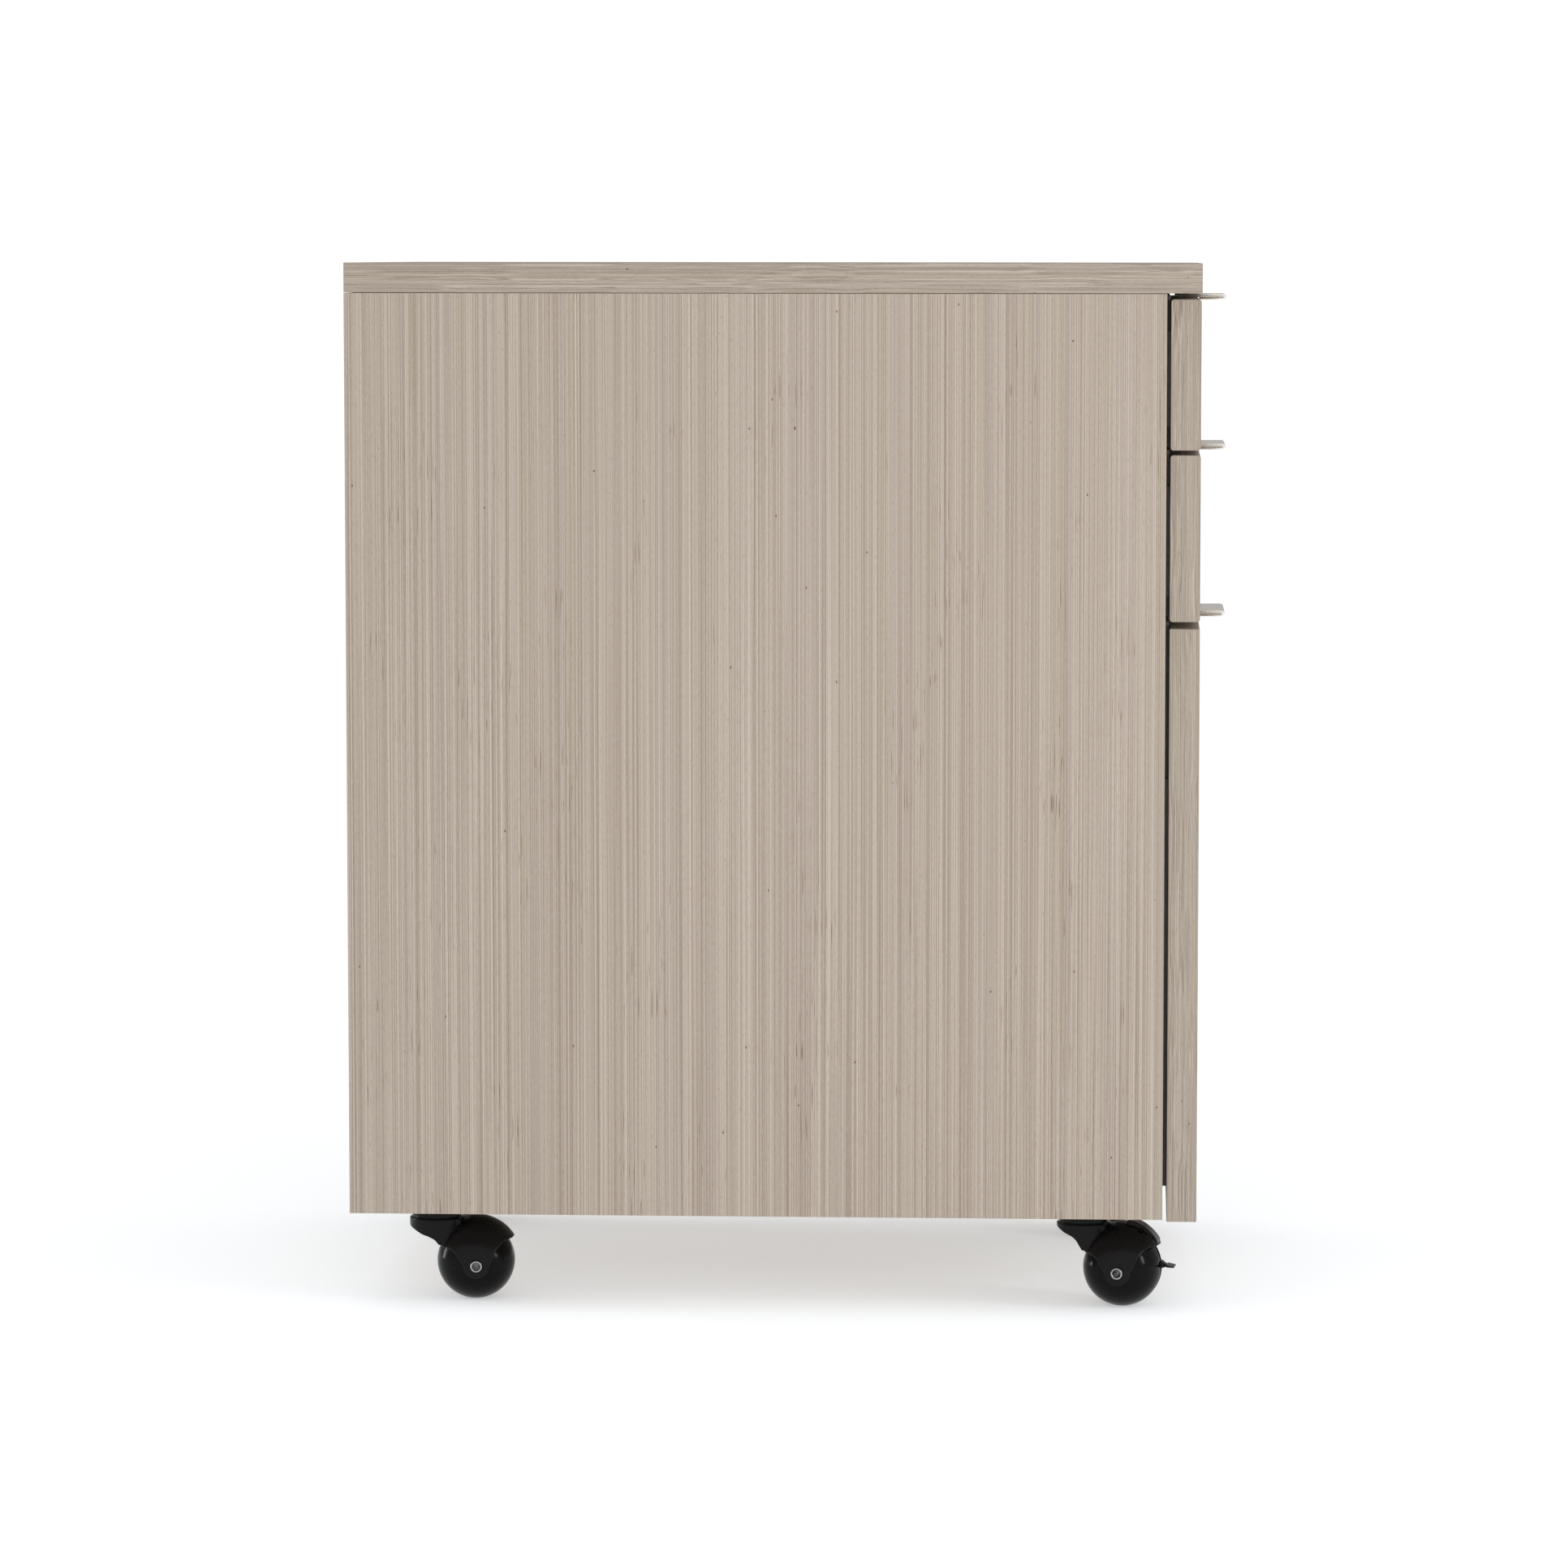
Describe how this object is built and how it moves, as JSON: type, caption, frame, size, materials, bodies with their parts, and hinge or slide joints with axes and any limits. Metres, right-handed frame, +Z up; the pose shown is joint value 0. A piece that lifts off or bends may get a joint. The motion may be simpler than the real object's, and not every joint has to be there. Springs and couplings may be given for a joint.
{
  "type": "rolling pedestal cabinet",
  "caption": "Under-desk pedestal in grey-oak laminate with shallow drawers over a deep file drawer, flat metal tab pulls and hooded ball casters.",
  "frame": {"origin": "on the floor, under the middle of the object's box", "axes": "+Z up, the drawer fronts face -Y, +X to the right seen from the front"},
  "size_m": [0.4, 0.555, 0.6645],
  "materials": {
    "laminate": "matte grey-oak wood-grain laminate with fine linear grain",
    "box": "plain warm-grey melamine-faced board",
    "steel": "bright zinc-plated rolled steel",
    "pull": "satin nickel",
    "hood": "glossy black moulded nylon",
    "ball": "glossy black moulded nylon, lightly worn where it rolls",
    "axle": "bright nickel-plated rivet"
  },
  "bodies": {
    "cabinet": {"top_panel": "laminate", "left_side_panel": "laminate", "right_side_panel": "laminate", "back_panel": "laminate", "bottom_panel": "laminate", "caster_plate_front_left": "steel", "caster_plate_front_right": "steel", "caster_plate_rear_left": "steel", "caster_plate_rear_right": "steel", "top_cabinet_slide_left": "steel", "top_cabinet_slide_right": "steel", "middle_cabinet_slide_left": "steel", "middle_cabinet_slide_right": "steel", "file_cabinet_slide_left": "steel", "file_cabinet_slide_right": "steel"},
    "top_drawer": {"top_drawer_front": "laminate", "top_drawer_pull": "pull", "top_drawer_box_front": "box", "top_drawer_left_side": "box", "top_drawer_right_side": "box", "top_drawer_back": "box", "top_drawer_bottom": "box", "top_drawer_slide_left": "steel", "top_drawer_slide_right": "steel"},
    "middle_drawer": {"middle_drawer_front": "laminate", "middle_drawer_pull": "pull", "middle_drawer_box_front": "box", "middle_drawer_left_side": "box", "middle_drawer_right_side": "box", "middle_drawer_back": "box", "middle_drawer_bottom": "box", "middle_drawer_slide_left": "steel", "middle_drawer_slide_right": "steel"},
    "file_drawer": {"file_drawer_front": "laminate", "file_drawer_pull": "pull", "file_drawer_box_front": "box", "file_drawer_left_side": "box", "file_drawer_right_side": "box", "file_drawer_back": "box", "file_drawer_bottom": "box", "file_drawer_slide_left": "steel", "file_drawer_slide_right": "steel", "file_hanging_rail_left": "steel", "file_hanging_rail_right": "steel"},
    "file_runner_left": {"file_middle_slide_left": "steel"},
    "file_runner_right": {"file_middle_slide_right": "steel"},
    "caster_front_left": {"caster_hood_front_left": "hood", "caster_axle_front_left": "axle"},
    "ball_front_left": {"caster_ball_front_left": "ball"},
    "brake_front_left": {"brake_lever_front_left": "hood"},
    "caster_front_right": {"caster_hood_front_right": "hood", "caster_axle_front_right": "axle"},
    "ball_front_right": {"caster_ball_front_right": "ball"},
    "brake_front_right": {"brake_lever_front_right": "hood"},
    "caster_rear_left": {"caster_hood_rear_left": "hood", "caster_axle_rear_left": "axle"},
    "ball_rear_left": {"caster_ball_rear_left": "ball"},
    "caster_rear_right": {"caster_hood_rear_right": "hood", "caster_axle_rear_right": "axle"},
    "ball_rear_right": {"caster_ball_rear_right": "ball"}
  },
  "joints": [
    {"name": "top_drawer_slide", "type": "slide", "parent": "cabinet", "child": "top_drawer", "axis": [0, -1, 0], "range_m": [0, 0.335]},
    {"name": "middle_drawer_slide", "type": "slide", "parent": "cabinet", "child": "middle_drawer", "axis": [0, -1, 0], "range_m": [0, 0.335]},
    {"name": "file_drawer_slide", "type": "slide", "parent": "cabinet", "child": "file_drawer", "axis": [0, -1, 0], "range_m": [0, 0.43]},
    {"name": "file_runner_slide_left", "type": "slide", "parent": "cabinet", "child": "file_runner_left", "axis": [0, -1, 0], "range_m": [0, 0.215]},
    {"name": "file_runner_slide_right", "type": "slide", "parent": "cabinet", "child": "file_runner_right", "axis": [0, -1, 0], "range_m": [0, 0.215]},
    {"name": "swivel_front_left", "type": "hinge", "parent": "cabinet", "child": "caster_front_left", "pos_m": [-0.15, -0.1885, 0.058], "axis": [0, 0, 1], "continuous": true},
    {"name": "roll_front_left", "type": "hinge", "parent": "caster_front_left", "child": "ball_front_left", "pos_m": [-0.15305, -0.21331, 0.025], "axis": [0.9925, -0.1219, 0], "continuous": true},
    {"name": "brake_front_left", "type": "hinge", "parent": "caster_front_left", "child": "brake_front_left", "pos_m": [-0.15463, -0.22617, 0.04937], "axis": [0.9925, -0.1219, 0], "range_deg": [0, 7.5]},
    {"name": "swivel_front_right", "type": "hinge", "parent": "cabinet", "child": "caster_front_right", "pos_m": [0.15, -0.1885, 0.058], "axis": [0, 0, 1], "continuous": true},
    {"name": "roll_front_right", "type": "hinge", "parent": "caster_front_right", "child": "ball_front_right", "pos_m": [0.12585, -0.19497, 0.025], "axis": [0.2588, -0.9659, 0], "continuous": true},
    {"name": "brake_front_right", "type": "hinge", "parent": "caster_front_right", "child": "brake_front_right", "pos_m": [0.11334, -0.19832, 0.04937], "axis": [0.2588, -0.9659, 0], "range_deg": [0, 7.5]},
    {"name": "swivel_rear_left", "type": "hinge", "parent": "cabinet", "child": "caster_rear_left", "pos_m": [-0.15, 0.2275, 0.058], "axis": [0, 0, 1], "continuous": true},
    {"name": "roll_rear_left", "type": "hinge", "parent": "caster_rear_left", "child": "ball_rear_left", "pos_m": [-0.14739, 0.20264, 0.025], "axis": [0.9945, 0.1045, 0], "continuous": true},
    {"name": "swivel_rear_right", "type": "hinge", "parent": "cabinet", "child": "caster_rear_right", "pos_m": [0.15, 0.2275, 0.058], "axis": [0, 0, 1], "continuous": true},
    {"name": "roll_rear_right", "type": "hinge", "parent": "caster_rear_right", "child": "ball_rear_right", "pos_m": [0.16768, 0.24518, 0.025], "axis": [-0.7071, 0.7071, 0], "continuous": true}
  ],
  "couplings": [
    {"joint": "file_runner_slide_left", "follows": "file_drawer_slide", "ratio": 0.5},
    {"joint": "file_runner_slide_right", "follows": "file_drawer_slide", "ratio": 0.5}
  ]
}
